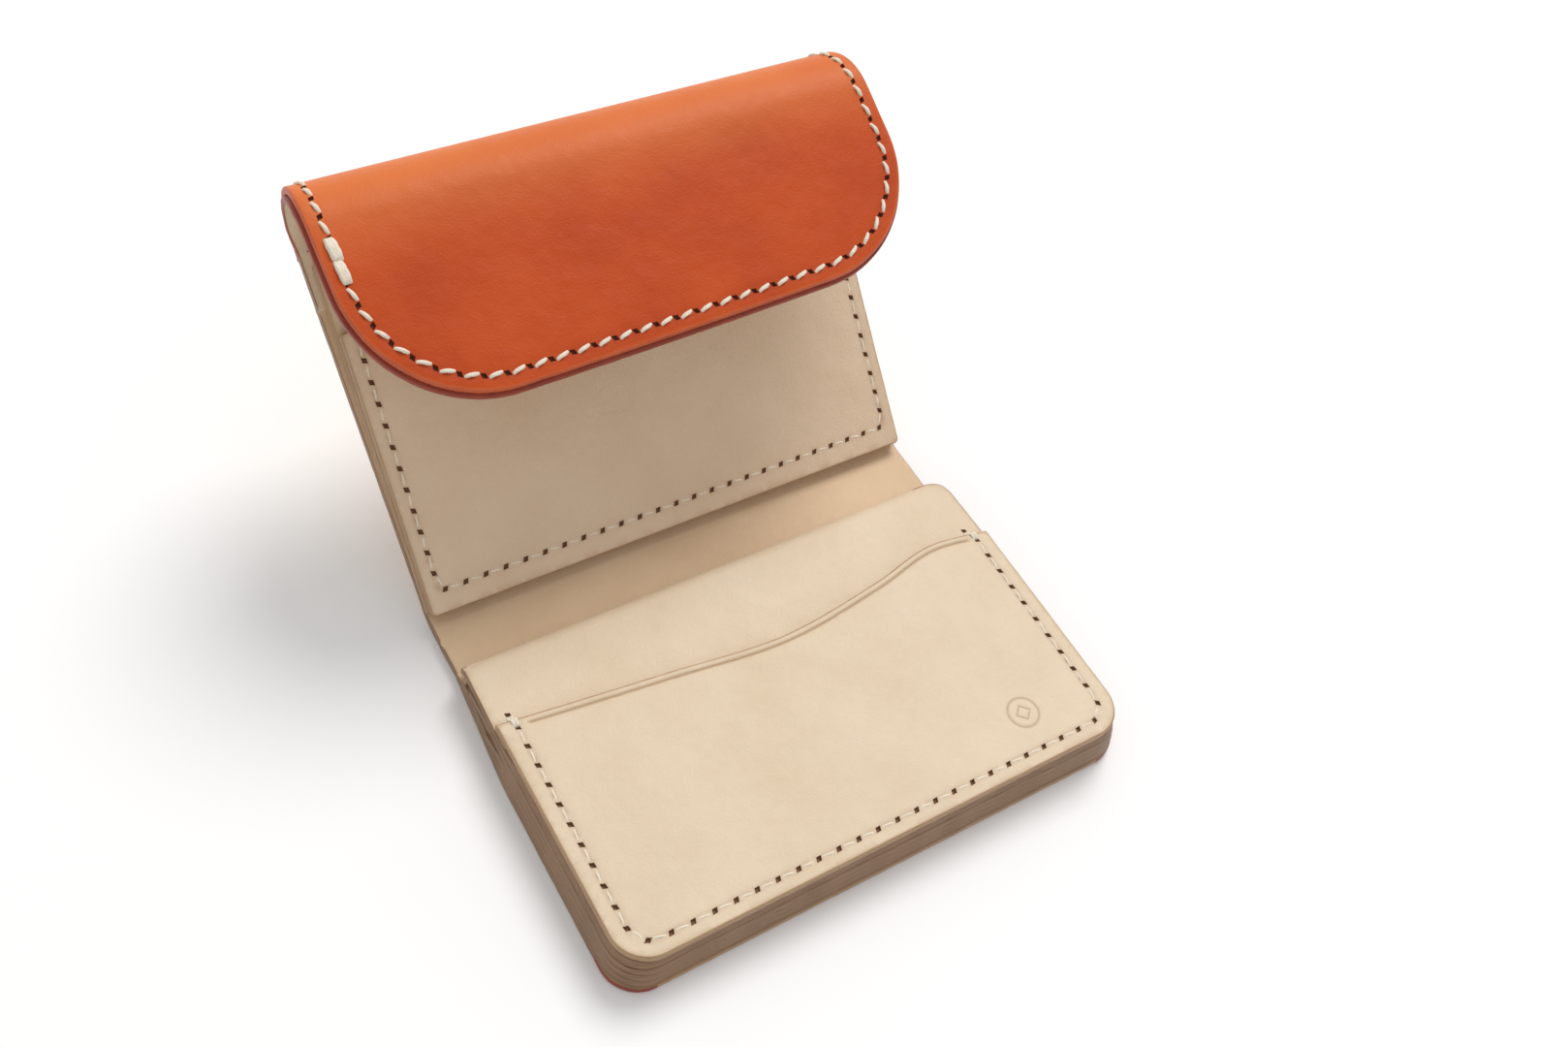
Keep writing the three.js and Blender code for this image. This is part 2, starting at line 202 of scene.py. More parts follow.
def arc(cx, cy, radius, start, end, steps=14):
    angles = np.radians(np.linspace(start, end, steps + 1))
    return [(cx + radius * math.cos(a), cy + radius * math.sin(a)) for a in angles]


def lower_outline(half, front, back_points, radius=FRONT_RADIUS):
    """Anticlockwise from the left front corner; back_points run from the right to the left."""
    waist = CAD_FRONT + WAIST_AFTER
    left = [(-half, waist)] if min(p[1] for p in back_points) > waist + 1 else []
    right = [(half, waist)] if left else []
    corners = arc(radius - half, front + radius, radius, 180, 270)
    corners += arc(half - radius, front + radius, radius, 270, 360)
    return dense(corners + right + list(back_points) + left, 1.2)


def inset(outline, amount):
    """The outline moved inwards; anticlockwise outlines only."""
    before, after = np.roll(outline, 1, axis=0), np.roll(outline, -1, axis=0)
    tangent = after - before
    tangent /= np.maximum(np.linalg.norm(tangent, axis=1, keepdims=True), 1e-9)
    inwards = np.stack([-tangent[:, 1], tangent[:, 0]], axis=1)
    return outline + inwards * np.reshape(amount, (-1, 1))


def walk(path, pitch=PITCH, closed=False, first=0.0):
    """Evenly spaced points along a line, with the direction of travel at each."""
    line = np.vstack([path, path[:1]]) if closed else np.array(path, float)
    lengths = np.r_[0, np.cumsum(np.linalg.norm(np.diff(line, axis=0), axis=1))]
    n = max(1, round(lengths[-1] / pitch))
    at = np.linspace(0, lengths[-1], n + 1)
    if closed:
        at = at[:-1] + first

    def point_at(where):
        return np.stack([np.interp(where, lengths, line[:, k]) for k in (0, 1)], axis=1)

    near = 0.4
    tangent = point_at(np.minimum(at + near, lengths[-1])) - point_at(np.maximum(at - near, 0))
    tangent /= np.linalg.norm(tangent, axis=1, keepdims=True)
    return point_at(at), tangent


def inside(points, outline):
    """Which points lie inside the outline."""
    x, y = points[:, 0][:, None], points[:, 1][:, None]
    x0, y0 = outline[:, 0][None], outline[:, 1][None]
    x1, y1 = np.roll(outline[:, 0], -1)[None], np.roll(outline[:, 1], -1)[None]
    crosses = (y0 > y) != (y1 > y)
    at = x0 + (y - y0) * (x1 - x0) / np.where(y1 == y0, 1e-12, y1 - y0)
    return (crosses & (x < at)).sum(axis=1) % 2 == 1


def nearest(points, others):
    """Distance from each point to the nearest of the others."""
    if len(others) == 0:
        return np.full(len(points), 1e9)
    gap = points[:, None, :] - others[None, :, :]
    return np.sqrt((gap**2).sum(axis=2)).min(axis=1)


# ---- leather panels ------------------------------------------------------------------------------

HOLE_LONG = 0.82  # half the long diagonal of an awl hole
HOLE_SHORT = 0.56
HOLE_SLANT = math.radians(38)
HOLE_DEPTH = 0.5
HOLE_CLEAR = 1.15  # no other point of the face lies nearer to the middle of a hole
PIT_SHARE = 0.6  # the size of a hole's floor against its rim
PRESSED_DEEP = 0.2  # a crease this deep has the full colour of a crease


def nothing(x, t):
    return 0 * x


def nowhere(x, t):
    return np.zeros(len(x), bool)


class Face:
    """One face of a panel: its awl holes, the lines that its points follow, how deep it is pressed and how
    far it is lifted at each point, how far apart its points are, and its material at each point."""

    def __init__(self, holes=None, lines=(), press=nothing, lift=nothing, spacing=1.6, slot=nowhere):
        self.holes = holes  # (points, tangents) or None
        self.lines = list(lines)
        self.press = press
        self.lift = lift
        self.spacing = spacing
        self.slot = slot


def diamonds(face, scale):
    """The outline of each awl hole."""
    if face.holes is None:
        return []
    loops = []
    for point, tangent in zip(*face.holes):
        turn = math.atan2(tangent[1], tangent[0]) + HOLE_SLANT
        along = np.array([math.cos(turn), math.sin(turn)])
        across = np.array([-along[1], along[0]])
        loops.append(np.array([
            point + along * HOLE_LONG * scale,
            point + across * HOLE_SHORT * scale,
            point - along * HOLE_LONG * scale,
            point - across * HOLE_SHORT * scale,
        ]))
    return loops


def triangulate(boundary, face):
    """Flat points, their depth below the face, triangles and whether each one is in a hole."""
    rims, pits = diamonds(face, 1.0), diamonds(face, PIT_SHARE)
    lo, hi = boundary.min(axis=0), boundary.max(axis=0)
    step = face.spacing
    rows = np.arange(lo[1] + step / 2, hi[1], step * 0.87)
    columns = np.arange(lo[0], hi[0], step)
    grid = np.array([(x + (i % 2) * step / 2, y) for i, y in enumerate(rows) for x in columns])
    grid = grid[inside(grid, boundary)]
    grid = grid[nearest(grid, boundary) > 0.55 * step]
    if rims:
        grid = grid[nearest(grid, face.holes[0]) > HOLE_CLEAR]
    for line in face.lines:
        grid = grid[nearest(grid, line) > 0.35 * step]
    points, depths, edges, loops = [], [], [], []

    def add(block, depth=0.0, closed=None):
        first = len(points)
        points.extend(Vector(p) for p in block)
        depths.extend([depth] * len(block))
        ids = list(range(first, first + len(block)))
        if closed is True:
            loops.append(ids)
        elif closed is False:
            edges.extend(zip(ids[:-1], ids[1:]))

    add(boundary, closed=True)
    for rim in rims:
        add(rim, closed=True)
    for pit in pits:
        add(pit, depth=HOLE_DEPTH, closed=True)
    for line in face.lines:
        add(line, closed=False)
    add(grid)
    found, _, triangles, sources, _, owners = delaunay_2d_cdt(points, edges, loops, 1, 1e-5, True)
    flat = np.array([v[:] for v in found])
    depth = np.array([max((depths[i] for i in s), default=0.0) for s in sources])
    place_of = {i: k for k, s in enumerate(sources) for i in s}
    border = [place_of[i] for i in range(len(boundary))]
    in_hole = [any(0 < o <= 2 * len(rims) for o in own) for own in owners]
    centres = np.array([flat[list(tri)].mean(axis=0) for tri in triangles])
    kept = np.flatnonzero(inside(centres, boundary))
    return flat, depth, [triangles[i] for i in kept], [in_hole[i] for i in kept], border


def panel(
    name, outline, place, thick, top=None, bottom=None,
    radius=0.3, rough=0.06, flare=nothing, cut=nowhere, bare=nowhere, other=nowhere,
):
    """A leather panel with two faces and a rounded wall: materials face, wall, holes.

    cut marks where the piece goes on as another one, with a square end; bare marks where the wall is
    left the colour of the face; other marks where the wall has the fourth material. flare is how much
    narrower the piece is at its top face than at its bottom one.
    """
    top, bottom = top or Face(), bottom or Face(spacing=3.0)
    thickness = thick if callable(thick) else (lambda t: thick + 0 * t)
    rounded = np.where(cut(*outline.T), 0.0, 1.0)
    slope = flare(*outline.T) * rounded
    plain_edge = cut(*outline.T) | bare(*outline.T)
    wall = np.where(plain_edge, 0, np.where(other(*outline.T), 3, 1))
    coords, lay, rim, press = [], [], [], []
    faces, material = [], []

    def store(x, t, h, rim_value, press_value):
        coords.append(place(x, t, h))
        lay.append(np.stack([x, t, h], axis=-1))
        rim.append(rim_value + 0 * x)
        press.append(press_value + 0 * x)

    count = 0
    borders = []
    for face, sign in ((top, 1), (bottom, -1)):
        narrower = radius * rounded + (slope if sign > 0 else 0)
        flat, depth, triangles, in_hole, border = triangulate(inset(outline, narrower), face)
        x, t = flat[:, 0], flat[:, 1]
        pressed = face.press(x, t)
        height = face.lift(x, t) - pressed - depth
        h = height if sign > 0 else -thickness(t) - height
        edge = np.zeros(len(x))
        edge[border] = np.where(plain_edge, 0.0, 1.0)
        store(x, t, h, edge, np.clip(pressed / PRESSED_DEEP, 0, 1))
        borders.append(([count + i for i in border], h[border]))
        slots = face.slot(*np.array([flat[list(tri)].mean(axis=0) for tri in triangles]).T)
        for tri, hole, slot in zip(triangles, in_hole, slots):
            faces.append([count + i for i in (tri if sign > 0 else tri[::-1])])
            material.append(2 if hole else int(slot))
        count += len(x)

    # The wall goes over the top edge, down past a few slightly uneven levels and under the bottom one.
    n = len(outline)
    high, low = borders[0][1], borders[1][1]
    turns = (30, 60, 90)
    levels = [(1 - math.sin(math.radians(a)), high, math.cos(math.radians(a)) - 1) for a in turns]
    levels += [(0.0, high + (low - high) * share, 0.0) for share in (0.35, 0.65)]
    levels += [(1 - math.sin(math.radians(a)), low, 1 - math.cos(math.radians(a))) for a in turns[::-1]]
    previous = borders[0][0]
    for level, (inwards, height, drop) in enumerate(levels):
        uneven = np.array([noise.noise(Vector((x * 0.35, t * 0.35, 5.0 * level))) for x, t in outline])
        risen = (height - low) / (high - low)
        ring = inset(outline, (radius * inwards + rough * (0.5 + uneven)) * rounded + slope * risen)
        store(ring[:, 0], ring[:, 1], height + radius * drop * rounded, np.where(plain_edge, 0.0, 1.0), 0.0)
        ids = list(range(count, count + n))
        count += n
        add_wall(faces, material, previous, ids, wall)
        previous = ids
    add_wall(faces, material, previous, borders[1][0], wall)
    return mesh_object(name, coords, faces, material, lay, rim, press)


def add_wall(faces, material, upper, lower, wall):
    """One round of quads between two rings of points."""
    n = len(upper)
    for i in range(n):
        k = (i + 1) % n
        faces.append([upper[i], lower[i], lower[k], upper[k]])
        material.append(int(wall[i] if wall[i] == wall[k] else max(wall[i], wall[k])))


def mesh_object(name, coords, faces, material, lay, rim=None, press=None, sharp=40):
    """A mesh in metres that carries its flat drawing (lay), which the materials are drawn on."""
    mesh = bpy.data.meshes.new(name)
    mesh.from_pydata((np.vstack(coords) * MM).tolist(), [], faces)
    mesh.polygons.foreach_set("material_index", np.array(material, np.int32))
    mesh.polygons.foreach_set("use_smooth", np.ones(len(faces), bool))
    lay_attribute = mesh.attributes.new("lay", "FLOAT_VECTOR", "POINT")
    lay_attribute.data.foreach_set("vector", np.vstack(lay).astype(np.float32).ravel())
    for key, values in (("rim", rim), ("press", press)):
        if values is not None:
            attribute = mesh.attributes.new(key, "FLOAT", "POINT")
            attribute.data.foreach_set("value", np.concatenate(values).astype(np.float32))
    shape = bmesh.new()
    shape.from_mesh(mesh)
    bmesh.ops.recalc_face_normals(shape, faces=shape.faces)
    shape.to_mesh(mesh)
    shape.free()
    mesh.set_sharp_from_angle(angle=math.radians(sharp))
    obj = bpy.data.objects.new(name, mesh)
    bpy.context.scene.collection.objects.link(obj)
    return obj


# ---- stitches ------------------------------------------------------------------------------------

THREAD_SIDES = 10
THREAD_RINGS = 13
THREAD_PLIES = 3
TWIST = 0.55  # turns per millimetre


def stitch(start, end, place, look, wide=1.0):
    """One visible stitch: it rises out of one awl hole, lies on the leather and dives into the next."""
    direction = end - start
    length = np.linalg.norm(direction)
    direction = direction / length
    across = np.array([-direction[1], direction[0]])
    first = start + direction * look["gap"]
    span = length - 2 * look["gap"]
    half, tall = look["half"] * wide, look["tall"] * wide
    coords = []
    for i in range(THREAD_RINGS):
        s = i / (THREAD_RINGS - 1)
        rise = math.sin(math.pi * s) ** 0.5
        centre = first + direction * span * s + across * look["slant"] * (0.5 - s)
        height = -look["sink"] + (look["sink"] + look["crown"]) * rise
        swell = 0.66 + 0.34 * math.sin(math.pi * s) ** 0.5
        for k in range(THREAD_SIDES):
            phi = 2 * math.pi * k / THREAD_SIDES
            ply = 1 + 0.11 * math.cos(THREAD_PLIES * phi + 2 * math.pi * TWIST * s * span)
            p = centre + across * math.cos(phi) * half * swell * ply
            coords.append((p[0], p[1], look["side"] * (height + math.sin(phi) * tall * swell * ply)))
    coords = np.array(coords)
    faces = []
    for i in range(THREAD_RINGS - 1):
        for k in range(THREAD_SIDES):
            n = (k + 1) % THREAD_SIDES
            a, b = i * THREAD_SIDES, (i + 1) * THREAD_SIDES
            faces.append([a + k, a + n, b + n, b + k])
    faces.append(list(range(THREAD_SIDES))[::-1])
    faces.append([(THREAD_RINGS - 1) * THREAD_SIDES + k for k in range(THREAD_SIDES)])
    return place(coords[:, 0], coords[:, 1], coords[:, 2]), faces, coords


def thread_look(half, tall, crown, sink=0.45, slant=0.35, gap=0.55, side=1):
    """How a seam's stitches lie: crown is how high the thread's middle lies above the leather."""
    return dict(half=half, tall=tall, crown=crown, sink=sink, slant=slant, gap=gap, side=side)


def seam(name, stitches, place, look, *nodes):
    """All stitches of one seam as one piece. stitches: (start, end, width) of each."""
    coords, faces, lay = [], [], []
    count = 0
    for start, end, wide in stitches:
        verts, cells, drawn = stitch(np.array(start), np.array(end), place, look, wide)
        coords.append(verts)
        lay.append(drawn)
        faces += [[count + i for i in cell] for cell in cells]
        count += len(verts)
    obj = mesh_object(name, coords, faces, [0] * len(faces), lay, sharp=60)
    obj.data.materials.append(THREAD)
    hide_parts(*nodes)
    return obj


def between(points, closed=False):
    """Stitches from each hole to the next."""
    ends = list(points[1:]) + ([points[0]] if closed else [])
    return [(a, b, 1.0) for a, b in zip(points, ends)]


# ---- materials -----------------------------------------------------------------------------------


class Nodes:
    """A short way to build a procedural material."""

    def __init__(self, name):
        self.material = bpy.data.materials.new(name)
        self.material.use_nodes = True
        self.tree = self.material.node_tree
        self.shader = self.tree.nodes["Principled BSDF"]

    def add(self, kind, **inputs):
        node = self.tree.nodes.new(kind)
        for key, value in inputs.items():
            self.put(node, key, value)
        return node

    def put(self, node, key, value):
        socket = node.inputs[key.replace("_", " ")]
        if isinstance(value, bpy.types.NodeSocket):
            self.tree.links.new(value, socket)
        else:
            socket.default_value = value

    def attribute(self, name, output="Vector"):
        node = self.tree.nodes.new("ShaderNodeAttribute")
        node.attribute_name = name
        return node.outputs[output]

    def noise(self, scale, detail=3.0, stretch=(1, 1, 1), roughness=0.5):
        mapping = self.add("ShaderNodeMapping", Vector=self.attribute("lay"))
        mapping.inputs["Scale"].default_value = stretch
        node = self.add("ShaderNodeTexNoise", Vector=mapping.outputs["Vector"], Scale=scale, Detail=detail)
        node.inputs["Roughness"].default_value = roughness
        return node.outputs["Fac"]

    def ramp(self, value, stops):
        node = self.add("ShaderNodeValToRGB", Fac=value)
        elements = node.color_ramp.elements
        while len(elements) < len(stops):
            elements.new(0.5)
        for element, (position, colour) in zip(elements, stops):
            element.position = position
            element.color = (*colour, 1)
        return node.outputs["Color"]

    def mix(self, factor, a, b):
        node = self.tree.nodes.new("ShaderNodeMix")
        node.data_type = "RGBA"
        for socket, value in ((node.inputs[0], factor), (node.inputs[6], a), (node.inputs[7], b)):
            if isinstance(value, bpy.types.NodeSocket):
                self.tree.links.new(value, socket)
            elif isinstance(value, (int, float)):
                socket.default_value = value
            else:
                socket.default_value = (*value, 1)
        return node.outputs[2]

    def math(self, operation, a, b=0.0):
        node = self.tree.nodes.new("ShaderNodeMath")
        node.operation = operation
        for socket, value in ((node.inputs[0], a), (node.inputs[1], b)):
            if isinstance(value, bpy.types.NodeSocket):
                self.tree.links.new(value, socket)
            else:
                socket.default_value = value
        return node.outputs[0]

    def bump(self, height, distance, strength=1.0, below=None):
        node = self.add("ShaderNodeBump", Height=height, Distance=distance, Strength=strength)
        if below is not None:
            self.tree.links.new(below, node.inputs["Normal"])
        return node.outputs["Normal"]


def grain_leather(
    name, light, middle, dark, pressed, rim_colour, roughness, grain=1.0, gloss=0.36, bend=None
):
    """Smooth full-grain leather: cloudy colour, fine pores, darker creases and edges."""
    n = Nodes(name)
    cloud = n.noise(0.045, 4.0, roughness=0.6)
    colour = n.ramp(cloud, [(0.30, dark), (0.52, middle), (0.74, light)])
    fleck = n.noise(1.1, 5.0, roughness=0.7)
    colour = n.mix(n.math("MULTIPLY", n.math("GREATER_THAN", fleck, 0.63), 0.16), colour, dark)
    colour = n.mix(n.math("MULTIPLY", n.attribute("press", "Fac"), 0.75), colour, pressed)
    # Painted highlight: with bend given, the colour is pushed towards bend's lighter colour up to t = start
    # and fades out by t = end, standing in for the broad highlight over the flap's bend.
    if bend:
        along = n.add("ShaderNodeSeparateXYZ", Vector=n.attribute("lay")).outputs["Y"]
        highlight_fade = n.add("ShaderNodeMapRange", Value=along)
        highlight_fade.interpolation_type = "SMOOTHSTEP"
        highlight_fade.inputs["From Min"].default_value = bend["end"]
        highlight_fade.inputs["From Max"].default_value = bend["start"]
        uneven = n.math("ADD", 0.55, n.math("MULTIPLY", n.noise(0.03, 2.0), 0.7))
        colour = n.mix(n.math("MULTIPLY", highlight_fade.outputs["Result"], uneven), colour, bend["colour"])
    edge = n.math("POWER", n.attribute("rim", "Fac"), 3.0)
    colour = n.mix(n.math("MULTIPLY", edge, 0.55), colour, rim_colour)
    n.put(n.shader, "Base Color", colour)
    pores = n.add("ShaderNodeTexVoronoi", Vector=n.attribute("lay"), Scale=2.6)
    pores.feature = "SMOOTH_F1"
    fine = n.noise(3.2, 4.0, roughness=0.65)
    wave = n.noise(0.16, 2.0)
    normal = n.bump(wave, 0.0012 * grain, 0.25)
    normal = n.bump(fine, 0.00009 * grain, 0.55, normal)
    normal = n.bump(pores.outputs["Distance"], 0.00008 * grain, 0.5, normal)
    n.put(n.shader, "Normal", normal)
    rough = n.math("ADD", roughness - 0.09, n.math("MULTIPLY", n.noise(0.5, 4.0), 0.18))
    n.put(n.shader, "Roughness", rough)
    n.shader.inputs["Specular IOR Level"].default_value = gloss
    return n.material


EDGE_ROUGHNESS = 0.42


def burnished(name, light, middle, dark):
    """A cut edge, rubbed smooth: fibres in thin streaks along the layers."""
    n = Nodes(name)
    streaks = n.noise(1.0, 5.0, stretch=(0.16, 0.16, 1.5), roughness=0.7)
    patches = n.noise(0.10, 3.0)
    colour = n.ramp(streaks, [(0.28, dark), (0.50, middle), (0.72, light)])
    colour = n.mix(n.math("MULTIPLY", patches, 0.5), colour, middle)
    n.put(n.shader, "Base Color", colour)
    fibre = n.noise(1.0, 4.0, stretch=(0.5, 0.5, 6.0), roughness=0.7)
    n.put(n.shader, "Normal", n.bump(fibre, 0.00018, 0.6))
    n.put(n.shader, "Roughness", n.math("ADD", EDGE_ROUGHNESS - 0.1, n.math("MULTIPLY", patches, 0.25)))
    return n.material


def hole_leather(name, colour):
    """The dull inside of an awl hole."""
    n = Nodes(name)
    grain = n.noise(2.0, 3.0)
    darker = tuple(0.6 * c for c in colour)
    n.put(n.shader, "Base Color", n.mix(grain, darker, colour))
    n.put(n.shader, "Normal", n.bump(grain, 0.0001, 0.6))
    n.shader.inputs["Roughness"].default_value = 0.9
    return n.material


def thread_material():
    """Waxed linen: cream, with fibres that show as fine lines along the thread."""
    n = Nodes("linen_thread")
    fibres = n.noise(6.0, 4.0, roughness=0.7)
    cloud = n.noise(0.3, 2.0)
    colour = n.ramp(fibres, [(0.3, (0.62, 0.53, 0.39)), (0.6, (0.88, 0.80, 0.66))])
    colour = n.mix(n.math("MULTIPLY", cloud, 0.25), colour, (0.92, 0.87, 0.76))
    n.put(n.shader, "Base Color", colour)
    n.put(n.shader, "Normal", n.bump(fibres, 0.00006, 0.7))
    n.shader.inputs["Roughness"].default_value = 0.62
    n.shader.inputs["Sheen Weight"].default_value = 0.15
    return n.material


NATURAL = grain_leather(
    "natural_leather",
    light=(0.745, 0.610, 0.445),
    middle=(0.715, 0.580, 0.418),
    dark=(0.680, 0.540, 0.380),
    pressed=(0.36, 0.210, 0.100),
    rim_colour=(0.50, 0.330, 0.190),
    roughness=0.55,
)
# Painted reflected light: a warmer copy of the natural leather for the two upper pockets, tinted to stand in
# for the orange flap's light bouncing onto them.
PAINTED_BOUNCE_LEATHER = grain_leather(
    "upper_pocket_leather_painted_bounce",
    light=(0.755, 0.585, 0.415),
    middle=(0.725, 0.550, 0.390),
    dark=(0.690, 0.515, 0.350),
    pressed=(0.36, 0.210, 0.100),
    rim_colour=(0.50, 0.330, 0.190),
    roughness=0.55,
)
# Painted shade and bounce light: a darker, warmer copy of the natural leather for the spine, the body pieces
# and the lower lining, standing in for the fold's shade and light bounced between leather faces.
SHADED_BODY_LEATHER = grain_leather(
    "body_leather_painted_shade_and_bounce",
    light=(0.72, 0.530, 0.345),
    middle=(0.69, 0.500, 0.320),
    dark=(0.65, 0.455, 0.285),
    pressed=(0.36, 0.210, 0.100),
    rim_colour=(0.48, 0.300, 0.160),
    roughness=0.55,
)
ORANGE = grain_leather(
    "orange_leather",
    light=(0.56, 0.080, 0.010),
    middle=(0.51, 0.064, 0.006),
    dark=(0.44, 0.048, 0.004),
    pressed=(0.25, 0.035, 0.010),
    rim_colour=(0.60, 0.120, 0.028),
    roughness=0.46,
    grain=0.9,
    gloss=0.2,
    # bend: a painted highlight, a lighter orange laid over the leather up to t = 22 mm and fading out by t =
    # 46 mm.
    bend=dict(start=22.0, end=46.0, colour=(0.71, 0.182, 0.042)),
)
EDGE = burnished("burnished_edge", (0.335, 0.200, 0.108), (0.258, 0.144, 0.072), (0.158, 0.080, 0.036))
PALE_EDGE = burnished("pale_edge", (0.48, 0.315, 0.175), (0.41, 0.255, 0.135), (0.30, 0.175, 0.09))
ORANGE_EDGE = burnished("orange_edge", (0.62, 0.125, 0.035), (0.52, 0.088, 0.022), (0.38, 0.050, 0.012))
DYED_EDGE = burnished("dyed_edge", (0.38, 0.056, 0.018), (0.28, 0.034, 0.010), (0.13, 0.013, 0.005))
HOLE = hole_leather("awl_hole", (0.27, 0.135, 0.066))
ORANGE_HOLE = hole_leather("orange_awl_hole", (0.17, 0.030, 0.012))
THREAD = thread_material()


def finish_panel(obj, materials, slot, *nodes):
    """Give the piece its materials and hide the CAD nodes that it takes the place of. The slot argument is
    not used.
    """
    for material in materials:
        obj.data.materials.append(material)
    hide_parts(*nodes)


# ---- the lower half ------------------------------------------------------------------------------


def box_mm(node):
    lo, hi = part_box(node)
    return np.array(lo) / MM, np.array(hi) / MM


CAD_FRONT = box_mm("body_lower")[0][1]
CAD_TOP = box_mm("front_pocket")[1][2]
SEAM_FRONT = box_mm("front_pocket")[0][1] + SEAM_INSET
SEAM_RADIUS = FRONT_RADIUS - SEAM_INSET
MOUTH = [(52.2, 48.6), (39, 50.3), (24, 47.3), (2.5, 44.8), (-20, 47.0), (-38, 48.9), (-52.2, 50.5)]


def spline(points, steps=12):
    """A Catmull-Rom curve through the points."""
    p = np.array(points, float)
    p = np.vstack([2 * p[0] - p[1], p, 2 * p[-1] - p[-2]])
    out = []
    for i in range(1, len(p) - 2):
        for s in np.linspace(0, 1, steps, endpoint=False):
            a, b, c, d = p[i - 1], p[i], p[i + 1], p[i + 2]
            once = (c - a) * s
            twice = (2 * a - 5 * b + 4 * c - d) * s**2
            thrice = (3 * b - a - 3 * c + d) * s**3
            out.append(0.5 * (2 * b + once + twice + thrice))
    out.append(p[-2])
    return np.array(out)


MOUTH_LINE = spline([(x, y + CAD_FRONT) for x, y in MOUTH])


def mouth_at(x):
    return np.interp(x, MOUTH_LINE[::-1, 0], MOUTH_LINE[::-1, 1])


def u_path(half, front, left_back, right_back, radius):
    """Down the left side, along the front and up the right side."""
    points = [(-half, left_back)]
    points += arc(radius - half, front + radius, radius, 180, 270)
    points += arc(half - radius, front + radius, radius, 270, 360)
    points.append((half, right_back))
    return dense(points, 0.8, closed=False)


def groove(path, width, depth):
    """A shallow trough along a line."""
    line = np.array(path)

    def press(x, t):
        gap = nearest(np.stack([x, t], axis=1), line)
        return depth * np.exp(-((gap / width) ** 2))

    return press


def together(*functions):
    return lambda x, t: sum(f(x, t) for f in functions)


def across(half, rows):
    """Lines of points across a panel, for where it bends."""
    return [dense([(-half, y), (half, y)], 2, closed=False) for y in rows]


def beside(path, offsets):
    """Lines beside the path at the given distances, to carry a trough."""
    line = np.array(path)
    tangent = np.gradient(line, axis=0)
    tangent /= np.linalg.norm(tangent, axis=1, keepdims=True)
    normal = np.stack([-tangent[:, 1], tangent[:, 0]], axis=1)
    return [line + normal * o for o in offsets]


RIM_SEEN = 2.6  # wider than any triangle at the rim
SLOPE_FADES = 5


def rim_until(outline, until):
    """The rim that lies bare along the wall, in front of the given t, has the wall's material."""

    def slot(x, t):
        return (nearest(np.stack([x, t], axis=1), outline) < RIM_SEEN) & (t < until)

    return slot


def sloping(node, above, until):
    """The wall slopes from this node's outline in to that of the node above, in front of the given t."""
    step = box_mm(node)[1][0] - box_mm(above)[1][0]
    return lambda x, t: step * np.clip((until - t) / SLOPE_FADES, 0, 1)


def lower_layer(
    name, node, above, levels, materials, back_points, until,
    top_face=None, bottom_face=None, radius=0.06, **more,
):
    """A panel of the lower half; above is the node that lies on it as far back as until."""
    bottom, top = levels
    lo, hi = box_mm(node)
    outline = lower_outline(hi[0], lo[1], back_points)
    top_face = top_face or Face()
    top_face.slot = rim_until(outline, until)
    obj = panel(
        name, outline, on_table(top), top - bottom, top_face, bottom_face, radius,
        rough=0.05, flare=sloping(node, above, until), **more,
    )
    finish_panel(obj, materials, "natural_leather", node)
    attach(obj, "lower")


SEAM_TO_MOUTH = 1.7
CREASE_TO_MOUTH = 1.4
LEFT_END, RIGHT_END = (mouth_at(x) - SEAM_TO_MOUTH for x in (-SEAM_HALF, SEAM_HALF))
FRONT_PATH = u_path(SEAM_HALF, SEAM_FRONT, LEFT_END, RIGHT_END, SEAM_RADIUS)
FRONT_HOLES = walk(FRONT_PATH)

# The generic blind mark near the right front corner: a ring round a small lozenge.
MARK_AT = np.array([34.5, CAD_FRONT + 11.6])
MARK_RADIUS = 3.0
MARK_LOZENGE = 1.5
MARK_LINE = 0.22
MARK_DEEP = 0.13


def mark_press(x, t):
    dx, dt = x - MARK_AT[0], t - MARK_AT[1]
    ring = np.exp(-(((np.hypot(dx, dt) - MARK_RADIUS) / MARK_LINE) ** 2))
    lozenge = np.exp(-(((np.abs(dx) + np.abs(dt) - MARK_LOZENGE) / MARK_LINE) ** 2))
    return MARK_DEEP * np.maximum(ring, lozenge)


def mark_lines():
    lines = []
    for offset in (-0.45, -0.2, 0, 0.2, 0.45):
        ring = arc(*MARK_AT, MARK_RADIUS + offset, 0, 360, 64)
        lines.append(np.array(ring[:-1]))
        r = MARK_LOZENGE + offset
        corners = [(r, 0), (0, r), (-r, 0), (0, -r)]
        lines.append(dense(np.array(corners) + MARK_AT, 0.25)[:-1])
    return lines


